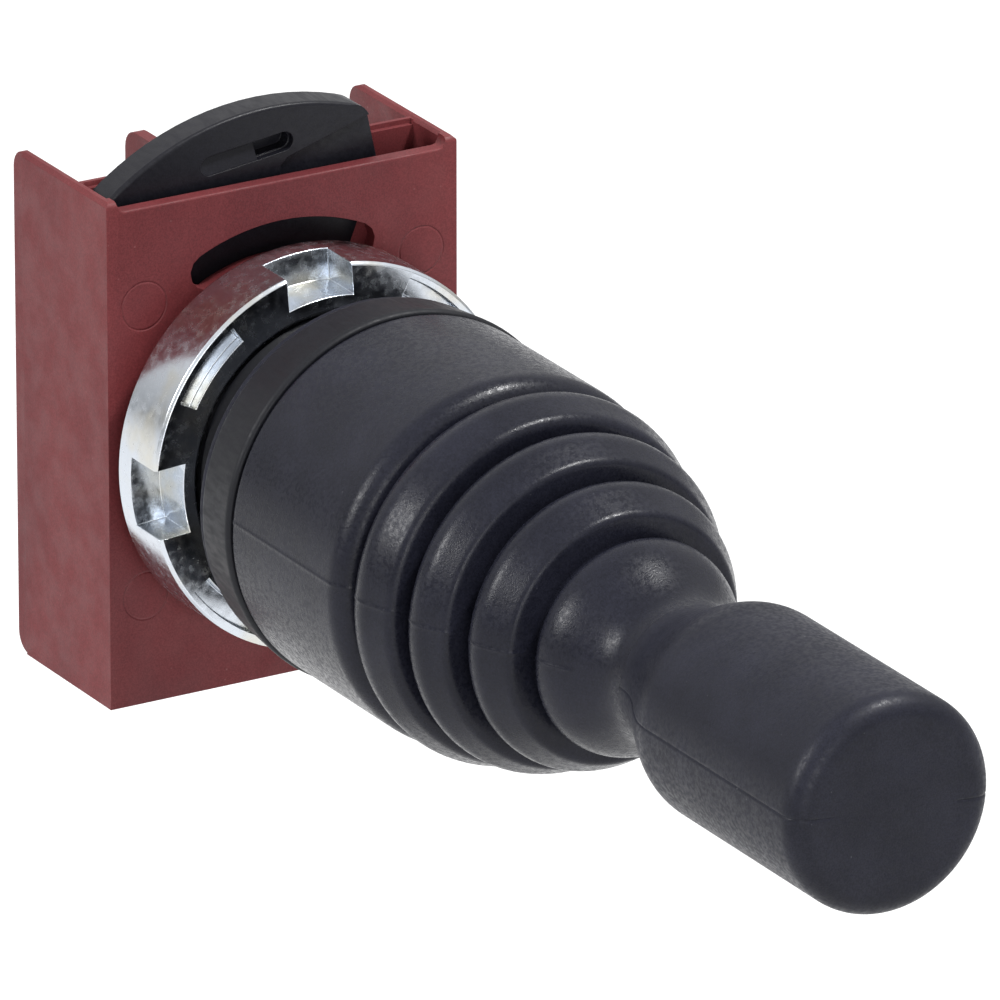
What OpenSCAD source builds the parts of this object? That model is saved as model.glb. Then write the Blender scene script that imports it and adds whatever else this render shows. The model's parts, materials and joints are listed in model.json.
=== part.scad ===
// Panel joystick for a 22 mm hole: a rubber-booted stick in a threaded neck, a notched ring nut,
// and a moulded mounting base that a turning lever locks onto the neck behind the panel.
// The stick points along -Y. The origin is the centre of the panel hole, on the panel's front face.

/* [Mounting base] */
// Width of the base
base_w = 29.5; // [29:0.5:32]
// Height of the base's side walls
base_h = 39.7; // [39:0.5:43]
// Depth of the base
base_d = 14.4; // [14:0.2:16]
// Thickness of the side walls
wall = 0.9; // [0.8:0.1:1.1]
// Thickness of the front wall
face = 1.2; // [1:0.1:1.4]

/* [Neck and nut] */
// Outside diameter of the neck's thread
neck_d = 22; // [21.8:0.1:22.1]
// Outside diameter of the ring nut
nut_d = 30; // [29.5:0.5:31]
// Height of the ring nut
nut_h = 5.36; // [5:0.1:6]
// Gap left for the panel between the nut and the gasket
panel_gap = 4.7; // [4:0.1:5]
// Angle by which the nut's notches stand off the axes
nut_turn = 4.1; // [0:0.5:20]

/* [Boot and stick] */
// Outside diameter of the boot's straight sleeve
sleeve_d = 28.6; // [28.4:0.1:29]
// Diameter of the steel stick
stick_d = 6; // [5:0.5:6]
// Diameter of the grip
grip_d = 16.5; // [15:0.5:18]
// Length of the grip's straight part
grip_l = 20; // [16:1:26]

/* [Mechanism] */
// Distance of each plunger from the neck's axis
plunger_at = 6; // [5.8:0.1:6.1]
// Diameter of a plunger
plunger_d = 2.8; // [2.6:0.1:2.8]
// Travel of the locking lever, in degrees
lever_turn = 12; // [11:1:13]

/* [Hidden] */
$fn = 64;

base_red = [0.47, 0.24, 0.26];
black = [0.16, 0.16, 0.19];
zinc = [0.78, 0.81, 0.83];
steel = [0.7, 0.71, 0.73];
brass = [0.8, 0.66, 0.34];
nylon = [0.85, 0.83, 0.76];

// Distances along the stick's axis are counted forward from the base's front face.
neck_r = neck_d / 2;
collar_h = 1.9;
nut_0 = collar_h + 0.04;
nut_1 = nut_0 + nut_h;
gasket_h = 0.6;
seat = nut_1 + panel_gap;
bezel_0 = seat + gasket_h;
bezel_1 = bezel_0 + 4.7;
flange_0 = bezel_0 + 1;
flange_1 = flange_0 + 2;
spigot_1 = bezel_1 + 2.7;
sleeve_0 = bezel_1 + 0.1;
sleeve_1 = sleeve_0 + 13.6;
fold_0 = sleeve_1 + 2.25;
neck_end = fold_0 + 24.55;
grip_0 = neck_end + 8.2;
grip_1 = grip_0 + grip_l;
pivot = nut_1 + 2.7;
bore_r = 9;
tail_end = -5.6;
plate_0 = -3;
plate_1 = -1.4;
stick_r = stick_d / 2;
collar_0 = sleeve_1 - 1.95;
spring_foot = spigot_1 + 1.25;
rocker_0 = pivot - 4.7;
free_play = 0.5;
skin = 1.2;
lug_r = neck_r + 0.9;
lug_angles = [45, 135, 225, 315];
lever_0 = -4.6;
lever_1 = -2;
base_x = base_w / 2;
base_top = base_h / 2 + 0.25;
base_foot = base_top - base_h;
cross_0 = -4.9;
cross_1 = -5.6;
pin_r = 0.9;
gimbal_r = 7.8;
run = 0.05;
waist = 5.5;
shoulder_r = 1.8;
front_drop = 0.8;
boss_x = base_x - 2.75;
boss_y = 11.5;

// ---- shared shapes -------------------------------------------------------------------------

// Turns the drawing axis +Z to the stick's axis, with the drawing's Y upwards.
module along() {
    translate([0, seat, 0]) rotate([90, 0, 0]) children();
}

module ring(inner, outer, from, to) {
    translate([0, 0, from]) difference() {
        cylinder(r = outer, h = to - from);
        translate([0, 0, -1]) cylinder(r = inner, h = to - from + 2);
    }
}

module turned(profile) {
    rotate_extrude() polygon(profile);
}

module slab(from, to) {
    translate([0, 0, from]) linear_extrude(to - from) children();
}

function arc(centre, radius, from, to, steps = 8) = [
    for (i = [0 : steps])
        let (a = from + (to - from) * i / steps) centre + radius * [cos(a), sin(a)]
];

// A wedge of a disc between two angles, straight sided.
module wedge(from, to, radius) {
    polygon(concat([[0, 0]], arc([0, 0], radius / cos((to - from) / 8), from, to, 4)));
}

// Outline of a slot with round ends that follows a circle.
function curved_slot(radius, half, from, to) = concat(
    arc([0, 0], radius + half, from, to, 16),
    arc(radius * [cos(to), sin(to)], half, to + 30, to + 150, 4),
    arc([0, 0], radius - half, to, from, 16),
    arc(radius * [cos(from), sin(from)], half, from + 210, from + 330, 4)
);

// Part of a flat ring between two angles.
module ring_sector(inner, outer, from, to) {
    intersection() {
        difference() {
            circle(r = outer);
            circle(r = inner);
        }
        wedge(from, to, outer + 3);
    }
}

// A coil from a large foot to a small head, closed at both ends.
module coil(foot_r, head_r, wire_r, from, to, turns, steps, sides) {
    count = turns * steps;
    rise = to - from - 2 * wire_r;
    loops = [
        for (i = [0 : count])
            let (
                s = i / count,
                a = 360 * i / steps,
                r = foot_r + (head_r - foot_r) * s,
                h = from + wire_r + rise * (s - sin(360 * s) / 9)
            )
            for (k = [0 : sides - 1])
                let (w = 360 * k / sides, q = r + wire_r * cos(w))
                    [q * cos(a), q * sin(a), h + wire_r * sin(w)]
    ];
    last = count * sides;
    mantle = [
        for (i = [0 : count - 1]) for (k = [0 : sides - 1])
            let (j = (k + 1) % sides, p = i * sides, q = p + sides)
                for (half = [0 : 1])
                    half == 0 ? [p + k, q + k, q + j] : [p + k, q + j, p + j]
    ];
    caps = [
        [for (k = [0 : sides - 1]) k],
        [for (k = [sides - 1 : -1 : 0]) last + k]
    ];
    polyhedron(points = loops, faces = concat(mantle, caps), convexity = 10);
}

// ---- mounting base -------------------------------------------------------------------------

// Side view of the base: depth backwards along X, height along Y.
module side_outline() {
    corner = 1.5;
    polygon(concat(
        [[0, base_foot]], arc([0.5, base_top - 0.5], 0.5, 180, 90, 4),
        arc([base_d - corner, base_top - corner], corner, 90, 0, 6),
        arc([base_d - corner, base_foot + corner], corner, 0, -90, 6)
    ));
}

// Lays a side view across the base from one x to another.
module across(from, to) {
    translate([to, 0, 0]) rotate([0, -90, 0]) linear_extrude(to - from)
        mirror([1, 0]) children();
}

// Front view of a rectangle whose two top corners are splayed out or drawn in by the lip.
module trough(half, foot, lip) {
    polygon([
        [-half, foot], [half, foot], [half, base_top - abs(lip)], [half + lip, base_top],
        [half + lip, base_top + 1], [-half - lip, base_top + 1], [-half - lip, base_top],
        [-half, base_top - abs(lip)]
    ]);
}

// Opening over the front wall, which stands lower than the sides and rises into them.
module front_notch(half) {
    corner = 0.7;
    level = base_top - front_drop + corner;
    polygon(concat(
        [[-half, base_top + 1]], arc([corner - half, level], corner, 180, 270),
        arc([half - corner, level], corner, 270, 360), [[half, base_top + 1]]
    ));
}

module base_shell() {
    inner_x = base_x - wall;
    edge = 0.6;
    difference() {
        intersection() {
            across(-base_x, base_x) side_outline();
            slab(-base_d - 1, 1) trough(base_x, base_foot, -0.3);
            slab(-base_d - 1, 0.01) hull() {
                for (sx = [-1, 1], sy = [-1, 1])
                    translate([sx * (base_x - edge), sy * 24]) circle(r = edge, $fn = 24);
            }
        }
        // everything behind the front wall, open at the top and the back
        slab(-base_d - 1, -face) trough(inner_x, base_foot + wall, 0.25);
        slab(-face - 1, 1) front_notch(inner_x);
        // the floor stops short of the back
        translate([-inner_x, base_foot - 1, -base_d - 1]) cube([2 * inner_x, 4, 3]);
        // a shallow rebate round the rear edge
        for (s = [-1, 1])
            translate([s * base_x - 0.15, base_foot - 1, -base_d - 1])
                cube([0.3, base_h + 2, 2.5]);
    }
}

// Ribs that part the three bays for contact blocks, above and below the plungers.
module bay_ribs() {
    for (sx = [-1, 1]) {
        intersection() {
            across(sx * 5 - 0.5, sx * 5 + 0.5)
                translate([-0.5, 0]) side_outline();
            union() {
                translate([-8, 13.2, 0.5 - base_d]) cube([16, 9, base_d - 6]);
                translate([-8, base_foot + 0.3, 0.5 - base_d])
                    cube([16, -13.2 - base_foot, base_d - 6]);
            }
        }
    }
}

module cross_wall() {
    inner_x = base_x - wall;
    difference() {
        translate([-inner_x - 0.1, base_foot + 0.5, cross_1])
            cube([2 * inner_x + 0.2, base_h - 0.6, cross_0 - cross_1]);
        translate([0, 0, cross_1 - 1]) cylinder(r = lug_r + 0.4, h = 4);
        // lead-in step along the top edge
        translate([-inner_x, base_top - 0.5, cross_0 - 0.35]) cube([2 * inner_x, 2, 1]);
    }
}

module screw_bosses() {
    for (sx = [-1, 1], sy = [-1, 1])
        translate([sx * boss_x, sy * boss_y, 1.2 - base_d])
            cylinder(r = 2, h = base_d - 6.9, $fn = 32);
}

// Cradle that carries the locking ring from below.
module lever_cradle() {
    difference() {
        translate([-7, base_foot + 0.4, cross_0 - 0.1]) cube([14, 7.4, -cross_0 - face + 0.2]);
        translate([0, 0, cross_0 - 1]) cylinder(r = 13.8, h = 6);
    }
}

module base() {
    color(base_red) along() difference() {
        union() {
            base_shell();
            cross_wall();
            bay_ribs();
            screw_bosses();
            lever_cradle();
            // collar that bears on the nut, and the track the locking ring runs on
            ring(neck_r + 0.1, 13.2, -face / 2, collar_h);
            ring(lug_r + 0.4, 13.2, -1.9, -face / 2);
        }
        translate([0, 0, -face - 1]) cylinder(r = neck_r + 0.1, h = face + collar_h + 2);
        // keyways for the neck's lugs
        for (a = lug_angles)
            slab(-face - 1, collar_h + 1) ring_sector(neck_r - 1, lug_r + 0.2, a - 6.4, a + 6.4);
        // curved window over the locking ring
        slab(-face - 1, 1) polygon(curved_slot(14.8, 1.4, 64.5, 115.5));
        for (sx = [-1, 1], sy = [-1, 1])
            translate([sx * boss_x, sy * boss_y, -base_d]) cylinder(r = 1.1, h = 7.2, $fn = 32);
    }
}

// ---- locking lever -------------------------------------------------------------------------

// Thumb plate above the ring: a long arc, a leaning right edge and a flat left stop.
module thumb_plate() {
    polygon(concat(
        [[-12.4, 5.3], [-13.1, 11], [-13.5, 17.5]],
        arc([0.45, 2], 22.35, 128.6, 73, 16),
        arc([6.9, 21.6], 1.7, 66, 14, 5),
        [[9.3, 18.6], [6.5, 11.8]]
    ));
}

module lever() {
    color(black) along() difference() {
        union() {
            translate([0, 0, lever_0]) cylinder(r = 13.5, h = lever_1 - lever_0);
            slab(lever_0, lever_1) thumb_plate();
        }
        translate([0, 0, lever_0 - 1]) cylinder(r = neck_r + 0.1, h = 5);
        for (a = lug_angles)
            slab(lever_0 - 1, lever_1 + 1)
                ring_sector(neck_r - 1, lug_r + 0.2, a + lever_turn - 6.4, a + lever_turn + 6.4);
        // blind finger slot with a deeper pocket at its right end
        translate([-1.85, 21.05]) rotate(7.2) {
            slab(lever_1 - 0.6, lever_1 + 1) hull() for (s = [-1, 1])
                translate([3.15 * s, 0]) circle(r = 0.75, $fn = 24);
            slab(lever_1 - 1.6, lever_1 + 1) hull() for (s = [1.2, 3.15])
                translate([s, 0]) circle(r = 0.65, $fn = 24);
        }
        // lower step at the right of the thumb plate
        slab(lever_1 - 0.35, lever_1 + 1)
            polygon([[0.8, 16.6], [1, 19.6], [1.6, 20.2], [8.3, 22.25], [10.5, 22], [10.5, 15.8]]);
    }
}

// ---- ring nut and panel seal ---------------------------------------------------------------

module ring_nut() {
    notch_floor = nut_0 + 1.76;
    color(zinc) along() difference() {
        turned([
            [neck_r + 0.1, nut_0], [nut_d / 2, nut_0], [nut_d / 2, nut_1 - 0.2],
            [nut_d / 2 - 0.2, nut_1], [neck_r + 0.6, nut_1], [neck_r + 0.1, nut_1 - 0.5]
        ]);
        for (k = [0 : 3]) rotate(nut_turn + 90 * k) {
            slab(notch_floor, nut_1 + 1) intersection() {
                translate([12, -2.7]) square([5, 5.4]);
                difference() {
                    circle(r = 20);
                    circle(r = 12.55);
                }
            }
            slab(nut_1 - 0.9, nut_1 + 1) ring_sector(12.9, 14.3, 31.5, 58.5);
        }
    }
}

module panel_gasket() {
    color(black) along() ring(12.2, 13.85, seat, bezel_0);
}

// ---- neck ----------------------------------------------------------------------------------

module body() {
    color(black) along() difference() {
        union() {
            turned([
                [bore_r - 1.1, tail_end], [neck_r - 0.5, tail_end], [neck_r, tail_end + 0.5],
                [neck_r, flange_0], [13, flange_0], [13, flange_1], [11.4, flange_1],
                [11.4, spigot_1], [bore_r, spigot_1], [bore_r, plate_0], [bore_r - 1.1, plate_0]
            ]);
            // lugs behind the locking ring
            for (a = lug_angles)
                slab(tail_end, lever_0 - 0.1) ring_sector(neck_r - 1, lug_r, a - 5, a + 5);
            // key that stops the neck turning in the panel
            translate([-1.5, neck_r - 0.6, seat - 2.4]) cube([3, 1.6, 2.8]);
        }
        translate([0, 0, pivot]) rotate([0, 90, 0])
            cylinder(r = pin_r, h = 2 * neck_r + 2, center = true, $fn = 32);
    }
}

module bezel() {
    color(black) along() turned([
        [neck_r + 0.1, bezel_0], [13.9, bezel_0], [14.1, bezel_0 + 0.25],
        [14.5, bezel_1 - 0.25], [14.3, bezel_1], [13.1, bezel_1], [13.1, flange_0],
        [neck_r + 0.1, flange_0]
    ]);
}

module gate_plate() {
    color(steel) along() ring(7.6, 11.3, spigot_1, spring_foot);
}

module boot_ring() {
    color(black) along() turned([
        [11.5, sleeve_0 + 1.3], [12.95, sleeve_0 + 1.3], [12.95, spring_foot + 1.1],
        [9.7, spring_foot + 1.1], [9.7, spring_foot + 0.02], [11.5, spring_foot + 0.02]
    ]);
}

// ---- rubber boot ---------------------------------------------------------------------------

module boot_sleeve() {
    r = sleeve_d / 2;
    color(black) along() turned([
        [11.5, sleeve_0], [r - 0.25, sleeve_0], [r, sleeve_0 + 0.3], [r, sleeve_1],
        [r - skin, sleeve_1], [r - skin, sleeve_0 + 1.2], [11.5, sleeve_0 + 1.2]
    ]);
}

// Three folds that shrink towards the stick. Each has a broad round back and a tight front
// shoulder, given as radius, distance past the first fold and rounding.
backs = [[11.9, 2.45, 2.2], [10.92, 7.9, 1.9], [9.05, 13, 1.8]];
fronts = [[12.55, 4.5, 0.9], [11.26, 9.94, 0.6], [9.1, 15.33, 0.6]];

// Angle at which the straight band between a fold's back and its shoulder leans inwards.
function lean(k) =
    let (d = fronts[k] - backs[k])
        atan2(d[1], d[0]) - acos(-d[2] / norm([d[0], d[1]]));

function bend(of, thinner, from, to) =
    arc([of[0], fold_0 + of[1]], of[2] - thinner, from, to, 7);

// Distance forward of a fold's front wall, and radius of the valley in front of it.
function wall_at(k) = fold_0 + fronts[k][1] + fronts[k][2];
function valley(k) = k == -1 ? 11.6 : k == 2 ? 7.3 : backs[k + 1][0] + 0.2;

function fold_outside(k) = concat(
    bend(backs[k], 0, -85, lean(k)), bend(fronts[k], 0, lean(k), 88),
    [[valley(k), wall_at(k) + 0.05]]
);

// The inside of a fold, 1 mm under its skin, from the valley in front to the valley behind.
function fold_inside(k) = concat(
    [[valley(k) - 1, wall_at(k) - 0.85], [fronts[k][0] - 0.4, wall_at(k) - 1]],
    bend(backs[k], 1, lean(k), -90),
    [[valley(k - 1) - 1, fold_0 + backs[k][1] - backs[k][2] + 0.85]]
);

// Shoulder, folds, dome and tapered neck in one skin.
module boot_bellows() {
    r = sleeve_d / 2;
    shoulder = [r - shoulder_r, sleeve_1 + 0.55];
    dome = fold_0 + 17.45;
    rim = 8.15;
    outside = concat(
        [[r, sleeve_1]], arc(shoulder, shoulder_r, 0, 90),
        [[valley(-1), fold_0 + 0.18]],
        fold_outside(0), fold_outside(1), fold_outside(2),
        [[valley(2) + 0.1, dome - 0.4]], arc([7.8, dome], 0.35, -80, 20, 4),
        [for (s = [0 : 0.125 : 1])
            [rim - (rim - waist) * (1 - cos(180 * s)) / 2, dome + 0.2 + 6.1 * s]],
        [[waist, neck_end]]
    );
    inside = concat(
        [[4.3, neck_end], [4.6, neck_end - 1.2], [6.4, dome + 2.2], [6.7, dome + 0.6]],
        [[valley(2) - 1, dome - 0.4]], fold_inside(2), fold_inside(1), fold_inside(0),
        [[valley(-1) - 1, fold_0 - 0.95]],
        arc(shoulder, shoulder_r - skin, 90, 0, 4), [[r - skin, sleeve_1]]
    );
    color(black) along() turned(concat(outside, inside));
}

// ---- gimbal and stick ----------------------------------------------------------------------

// Two short pins pressed into the neck's wall, on the side-to-side axis.
module body_pins() {
    color(steel) along() for (s = [-1, 1])
        translate([s * 8.4, 0, pivot]) rotate([0, 90, 0])
            cylinder(r = pin_r - 0.01, h = 4.2, center = true, $fn = 32);
}

module gimbal_ring() {
    color(zinc) along() difference() {
        ring(5.9, gimbal_r, pivot - 1.4, pivot + 1.4);
        translate([0, 0, pivot]) {
            rotate([0, 90, 0]) cylinder(r = pin_r + run, h = 20, center = true, $fn = 32);
            rotate([90, 0, 0]) cylinder(r = pin_r + run, h = 20, center = true, $fn = 32);
        }
    }
}

module cross_pin() {
    color(steel) along() translate([0, 0, pivot]) rotate([90, 0, 0])
        cylinder(r = pin_r - 0.01, h = 2 * gimbal_r - 0.4, center = true, $fn = 32);
}

module stick() {
    tail = pivot - 3.6;
    color(steel) along() difference() {
        turned([
            [0, tail], [2.5, tail], [2.5, pivot - 2.4], [4.3, pivot - 2.4], [4.6, pivot - 2.1],
            [4.6, pivot + 2.1], [4.3, pivot + 2.4], [stick_r, pivot + 2.4],
            [stick_r, collar_0 + 1.45], [stick_r - 0.4, collar_0 + 1.45],
            [stick_r - 0.4, collar_0 + 2.1], [stick_r, collar_0 + 2.1],
            [stick_r, grip_0 + 11.5], [stick_r - 0.5, grip_0 + 12], [0, grip_0 + 12]
        ]);
        translate([0, 0, pivot]) rotate([90, 0, 0])
            cylinder(r = pin_r, h = 12, center = true, $fn = 32);
        translate([0, 0, tail - 1]) cylinder(r = 1, h = 3.4, $fn = 24);
    }
}

module rocker() {
    color(nylon) along() turned([
        [2.2, rocker_0], [6.5, rocker_0], [6.9, rocker_0 + 0.4], [6.9, rocker_0 + 0.7],
        [6.6, rocker_0 + 1], [4.2, rocker_0 + 1], [4.2, pivot - 2.45], [2.52, pivot - 2.45],
        [2.52, rocker_0 + 1.08], [1.3, rocker_0 + 1.08], [1.3, rocker_0 + 0.95]
    ]);
}

module rocker_screw() {
    color(steel) along() difference() {
        turned([
            [0, rocker_0 + 0.02], [2.1, rocker_0 + 0.02], [1.2, rocker_0 + 0.95],
            [0.98, rocker_0 + 1.1], [0.98, rocker_0 + 3.2], [0, rocker_0 + 3.2]
        ]);
        translate([-3, -0.25, rocker_0 - 0.5]) cube([6, 0.5, 0.95]);
    }
}

module spring_collar() {
    color(steel) along() turned([
        [stick_r + 0.01, collar_0], [3.6, collar_0 - 0.9], [3.75, collar_0 - 0.9],
        [3.75, collar_0], [5.1, collar_0], [5.1, collar_0 + 1.4], [stick_r + 0.01, collar_0 + 1.4]
    ]);
}

module collar_clip() {
    color(steel) along() slab(collar_0 + 1.5, collar_0 + 2.05) difference() {
        circle(r = 4.6);
        circle(r = stick_r - 0.35);
        translate([0, -1.6]) square([8, 3.2]);
    }
}

module return_spring() {
    color(steel) along() coil(8.75, 4.4, 0.42, spring_foot, collar_0 - 0.02, 5, 28, 8);
}

// ---- plungers ------------------------------------------------------------------------------

module guide_plate() {
    color(nylon) along() difference() {
        translate([0, 0, plate_0]) cylinder(r = bore_r - 0.05, h = plate_1 - plate_0);
        for (a = [0 : 90 : 270]) rotate(a) translate([plunger_at, 0, plate_0 - 1])
            cylinder(r = plunger_d / 2 + run, h = 4, $fn = 32);
        translate([0, 0, plate_0 - 1]) cylinder(r = 2.2, h = 4);
    }
}

// A round-nosed rod with a flange that its spring pushes on.
module plunger(angle) {
    r = plunger_d / 2;
    nose = rocker_0 - free_play;
    color(nylon) along() rotate(angle) translate([plunger_at, 0, 0]) turned(concat(
        [[0, -12.3], [r - 0.4, -12.3], [r, -11.9], [r, nose - 3], [2.2, nose - 3],
         [2.2, nose - 2.4], [r, nose - 2.4]],
        arc([0, nose - r], r, 0, 90, 6)
    ));
}

module plunger_spring(angle) {
    color(steel) along() rotate(angle) translate([plunger_at, 0, 0])
        coil(1.85, 1.85, 0.18, plate_1 + 0.01, rocker_0 - free_play - 3.01, 4, 18, 6);
}

// ---- grip ----------------------------------------------------------------------------------

module grip_insert() {
    color(brass) along() ring(stick_r + 0.01, 5, grip_0 - 4, grip_0 + 12);
}

module grip() {
    r = grip_d / 2;
    rise = grip_0 - neck_end;
    color(black) along() turned(concat(
        [[stick_r + 0.1, neck_end + 0.01]],
        [for (s = [0 : 0.1 : 1])
            [waist + (r - waist) * (1 - cos(180 * s)) / 2, neck_end + 0.01 + rise * s]],
        arc([r - 1.7, grip_1 - 1.7], 1.7, 0, 84, 8),
        [[0, grip_1 + 0.12], [0, grip_0 + 12.1], [5.05, grip_0 + 12.1],
         [5.05, grip_0 - 4.1], [stick_r + 0.1, grip_0 - 4.1]]
    ));
}

base();
lever();
ring_nut();
panel_gasket();
body();
bezel();
gate_plate();
boot_ring();
boot_sleeve();
boot_bellows();
body_pins();
gimbal_ring();
cross_pin();
stick();
rocker();
rocker_screw();
spring_collar();
collar_clip();
return_spring();
guide_plate();
plunger(90);  // plunger_top
plunger(270);  // plunger_bottom
plunger(180);  // plunger_left
plunger(0);  // plunger_right
plunger_spring(90);  // spring_top
plunger_spring(270);  // spring_bottom
plunger_spring(180);  // spring_left
plunger_spring(0);  // spring_right
grip_insert();
grip();
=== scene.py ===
"""Panel joystick head: a booted stick in a threaded neck, its nut and its mounting base.

Lengths are millimetres unless a text says metres, and "forward" counts along the stick from the
base towards the grip, which is the frame's -Y. Meshes are written in metres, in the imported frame.
"""

import json
import logging
import math
from dataclasses import dataclass
from enum import Enum
from typing import Any, Callable, Sequence

import bmesh
import bpy
import numpy as np
from mathutils import Matrix, Vector

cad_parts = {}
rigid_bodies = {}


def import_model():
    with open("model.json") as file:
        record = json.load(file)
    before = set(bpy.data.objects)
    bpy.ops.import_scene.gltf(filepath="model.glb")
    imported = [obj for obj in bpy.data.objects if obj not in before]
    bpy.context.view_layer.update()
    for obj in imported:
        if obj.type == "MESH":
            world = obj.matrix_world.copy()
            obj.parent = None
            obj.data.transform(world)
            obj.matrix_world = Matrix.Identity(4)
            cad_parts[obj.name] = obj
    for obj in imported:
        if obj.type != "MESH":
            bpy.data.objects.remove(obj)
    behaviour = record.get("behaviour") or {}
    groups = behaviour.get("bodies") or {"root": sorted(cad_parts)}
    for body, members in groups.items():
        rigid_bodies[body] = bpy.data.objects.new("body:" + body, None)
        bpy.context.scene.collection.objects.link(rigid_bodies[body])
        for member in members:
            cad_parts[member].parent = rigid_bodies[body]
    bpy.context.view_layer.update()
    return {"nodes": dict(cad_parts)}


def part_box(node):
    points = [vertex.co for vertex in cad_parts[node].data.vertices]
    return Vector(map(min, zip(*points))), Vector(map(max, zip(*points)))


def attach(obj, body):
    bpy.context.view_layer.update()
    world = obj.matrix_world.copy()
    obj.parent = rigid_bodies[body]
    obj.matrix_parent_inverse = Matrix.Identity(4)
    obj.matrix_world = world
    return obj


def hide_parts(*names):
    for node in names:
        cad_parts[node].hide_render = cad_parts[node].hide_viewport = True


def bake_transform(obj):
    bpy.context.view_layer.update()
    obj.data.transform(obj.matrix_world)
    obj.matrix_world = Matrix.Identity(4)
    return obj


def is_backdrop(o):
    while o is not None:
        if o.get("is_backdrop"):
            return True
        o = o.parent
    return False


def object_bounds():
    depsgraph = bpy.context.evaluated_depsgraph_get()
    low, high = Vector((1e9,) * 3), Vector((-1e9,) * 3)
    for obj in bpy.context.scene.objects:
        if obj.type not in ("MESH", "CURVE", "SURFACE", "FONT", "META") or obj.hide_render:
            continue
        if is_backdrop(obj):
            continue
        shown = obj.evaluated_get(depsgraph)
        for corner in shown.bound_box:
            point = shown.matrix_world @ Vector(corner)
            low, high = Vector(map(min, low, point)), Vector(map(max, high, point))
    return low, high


log = logging.getLogger("joystick")

MM = 0.001
MICRON = 1e-6
FULL_TURN = 2 * math.pi
MOULD_TURN = math.radians(-4.6)  # the moulds part on a plane turned this far from level
MOULD_SIDES = (MOULD_TURN % FULL_TURN, math.pi + MOULD_TURN)
Pair = tuple[float, float]
Triple = tuple[float, float, float]
Colour = Triple
Piece = bpy.types.Object
Material = bpy.types.Material
Points = np.ndarray


class Body(str, Enum):
    """Moving bodies of the joystick."""

    HEAD = "head"
    LEVER = "lever"
    GIMBAL = "gimbal"
    STICK = "stick"
    TOP = "top_plunger"
    BOTTOM = "bottom_plunger"
    LEFT = "left_plunger"
    RIGHT = "right_plunger"


TILT_UP_DOWN = (Body.HEAD, Body.GIMBAL)
TILT_LEFT_RIGHT = (Body.GIMBAL, Body.STICK)


def linear(red: int, green: int, blue: int) -> Colour:
    """Gives a display colour of 0 to 255 as the linear colour that a shader takes."""
    share = np.array([red, green, blue]) / 255
    low, high = share / 12.92, ((share + 0.055) / 1.055) ** 2.4
    return tuple(float(v) for v in np.where(share <= 0.04045, low, high))


# ---- shading ---------------------------------------------------------------------------------


class Graph:
    """A node graph in the making."""

    def __init__(self, tree: bpy.types.NodeTree) -> None:
        """Starts from an empty graph."""
        self.tree = tree
        self.tree.nodes.clear()

    def add(self, kind: str, inputs: dict[Any, Any] | None = None, **settings: Any) -> Any:
        """Adds a node.

        Args:
            kind: Blender's name of the node type.
            inputs: Sockets to join and values to give, by the input's name or number.
            **settings: Attributes to set on the node.

        Returns:
            The new node.
        """
        node = self.tree.nodes.new(kind)
        for name, value in settings.items():
            setattr(node, name, value)
        self.fill(node, inputs or {})
        return node

    def fill(self, node: bpy.types.Node, inputs: dict[Any, Any]) -> None:
        """Joins inputs of a node to other sockets or gives them values.

        Args:
            node: The node.
            inputs: Output socket, number, vector or colour, by the input's name or number.
        """
        for name, value in inputs.items():
            socket = node.inputs[name]
            if isinstance(value, bpy.types.NodeSocket):
                self.tree.links.new(value, socket)
            else:
                socket.default_value = (*value, 1) if socket.type == "RGBA" else value


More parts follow.
